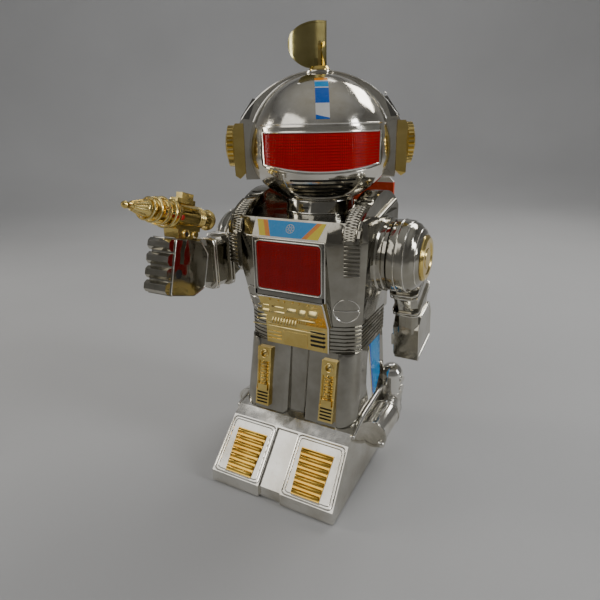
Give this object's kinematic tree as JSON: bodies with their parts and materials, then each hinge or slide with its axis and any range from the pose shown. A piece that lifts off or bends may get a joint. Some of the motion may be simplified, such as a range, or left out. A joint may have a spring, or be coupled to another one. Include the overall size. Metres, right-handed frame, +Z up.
{
  "type": "wind-up robot",
  "caption": "Boxy silver and gold toy space robot with a red visor, radar dish, ray gun, swinging arms and a wind-up drive in its feet.",
  "frame": {"origin": "middle of the flat underside of the base, between the two feet", "axes": "+Z up along the standing robot, -Y the way the chest faces, +X the robot's own left"},
  "size_m": [0.1408, 0.1497, 0.2716],
  "materials": {
    "silver_shell": "vacuum metallised, mirror bright silver",
    "gold_trim": "vacuum metallised, bright gold",
    "red_lens": "clear red, glossy",
    "orange_plastic": "glossy with a white stripe",
    "printed_label": "glossy printed paper",
    "dark_plastic": "matt moulded",
    "steel": "plain pressed and turned",
    "brass": "pressed, unpolished",
    "white_plastic": "matt moulded",
    "rubber": "matt"
  },
  "bodies": {
    "body": {"base_shell": "silver_shell", "base_plate": "dark_plastic", "base_screws": "steel", "foot_grille_left": "gold_trim", "foot_grille_right": "gold_trim", "body_front": "silver_shell", "body_back": "silver_shell", "shoulder_deck": "silver_shell", "chest_lens": "red_lens", "belly_plate": "gold_trim", "backpack": "silver_shell", "backpack_fin": "orange_plastic", "yoke_left": "silver_shell", "yoke_right": "silver_shell", "thigh_plate_left": "gold_trim", "thigh_plate_right": "gold_trim", "shoulder_bearing_left": "silver_shell", "shoulder_bearing_right": "silver_shell", "thruster_left": "silver_shell", "thruster_right": "silver_shell", "sticker_leg_left": "printed_label", "sticker_leg_right": "printed_label", "neck_post": "dark_plastic", "sticker_chest": "printed_label", "motor_plate_left": "steel", "motor_plate_right": "steel", "motor_pillars": "steel", "motor_bridges": "steel", "mainspring": "steel"},
    "head": {"head_front": "silver_shell", "head_back": "silver_shell", "visor_lens": "red_lens", "head_band": "silver_shell", "ear_cup_left": "gold_trim", "ear_cup_right": "gold_trim", "sticker_head": "printed_label"},
    "radar": {"radar_stem": "silver_shell", "radar_dish": "gold_trim"},
    "arm_left": {"arm_inner_left": "silver_shell", "arm_outer_left": "silver_shell", "shoulder_cap_left": "gold_trim"},
    "arm_right": {"arm_inner_right": "silver_shell", "arm_outer_right": "silver_shell", "shoulder_cap_right": "gold_trim"},
    "gun": {"gun_body": "gold_trim", "gun_grip": "gold_trim"},
    "key": {"key": "steel", "ratchet_wheel": "steel"},
    "great_wheel": {"great_wheel": "brass", "click": "steel"},
    "layshaft": {"layshaft": "steel", "lay_wheel": "brass"},
    "drive_axle": {"drive_axle": "steel", "axle_gear": "brass", "wheel_hub_left": "white_plastic", "wheel_hub_right": "white_plastic", "tyre_left": "rubber", "tyre_right": "rubber"},
    "front_axle": {"front_axle": "steel", "front_wheels": "dark_plastic"}
  },
  "joints": [
    {"name": "head_turn", "type": "hinge", "parent": "body", "child": "head", "pos_m": [0, 0.0225, 0.1756], "axis": [0, 0, 1], "range_deg": [-88, 32]},
    {"name": "radar_turn", "type": "hinge", "parent": "head", "child": "radar", "pos_m": [0, 0.0225, 0.2445], "axis": [0, 0, 1], "continuous": true},
    {"name": "left_shoulder", "type": "hinge", "parent": "body", "child": "arm_left", "pos_m": [0.051, 0.017, 0.1444], "axis": [-1, 0, 0], "range_deg": [-3, 137]},
    {"name": "right_shoulder", "type": "hinge", "parent": "body", "child": "arm_right", "pos_m": [-0.051, 0.017, 0.1444], "axis": [-1, 0, 0], "range_deg": [-110, 20]},
    {"name": "gun_out", "type": "slide", "parent": "arm_right", "child": "gun", "axis": [0, 0.2924, 0.9563], "range_m": [0, 0.012]},
    {"name": "winding_key", "type": "hinge", "parent": "body", "child": "key", "pos_m": [0, 0.053, 0.0372], "axis": [0, 1, 0], "continuous": true},
    {"name": "drive_axle_spin", "type": "hinge", "parent": "body", "child": "drive_axle", "pos_m": [0, 0.0168, 0.0082], "axis": [1, 0, 0], "continuous": true},
    {"name": "layshaft_spin", "type": "hinge", "parent": "body", "child": "layshaft", "pos_m": [0, 0.0168, 0.0372], "axis": [1, 0, 0], "continuous": true},
    {"name": "great_wheel_spin", "type": "hinge", "parent": "body", "child": "great_wheel", "pos_m": [0, 0.022, 0.0372], "axis": [0, 1, 0], "continuous": true},
    {"name": "front_axle_spin", "type": "hinge", "parent": "body", "child": "front_axle", "pos_m": [0, -0.034, 0.0047], "axis": [1, 0, 0], "continuous": true}
  ],
  "couplings": [
    {"joint": "layshaft_spin", "follows": "drive_axle_spin", "ratio": -0.20833},
    {"joint": "great_wheel_spin", "follows": "drive_axle_spin", "ratio": 0.052083}
  ]
}
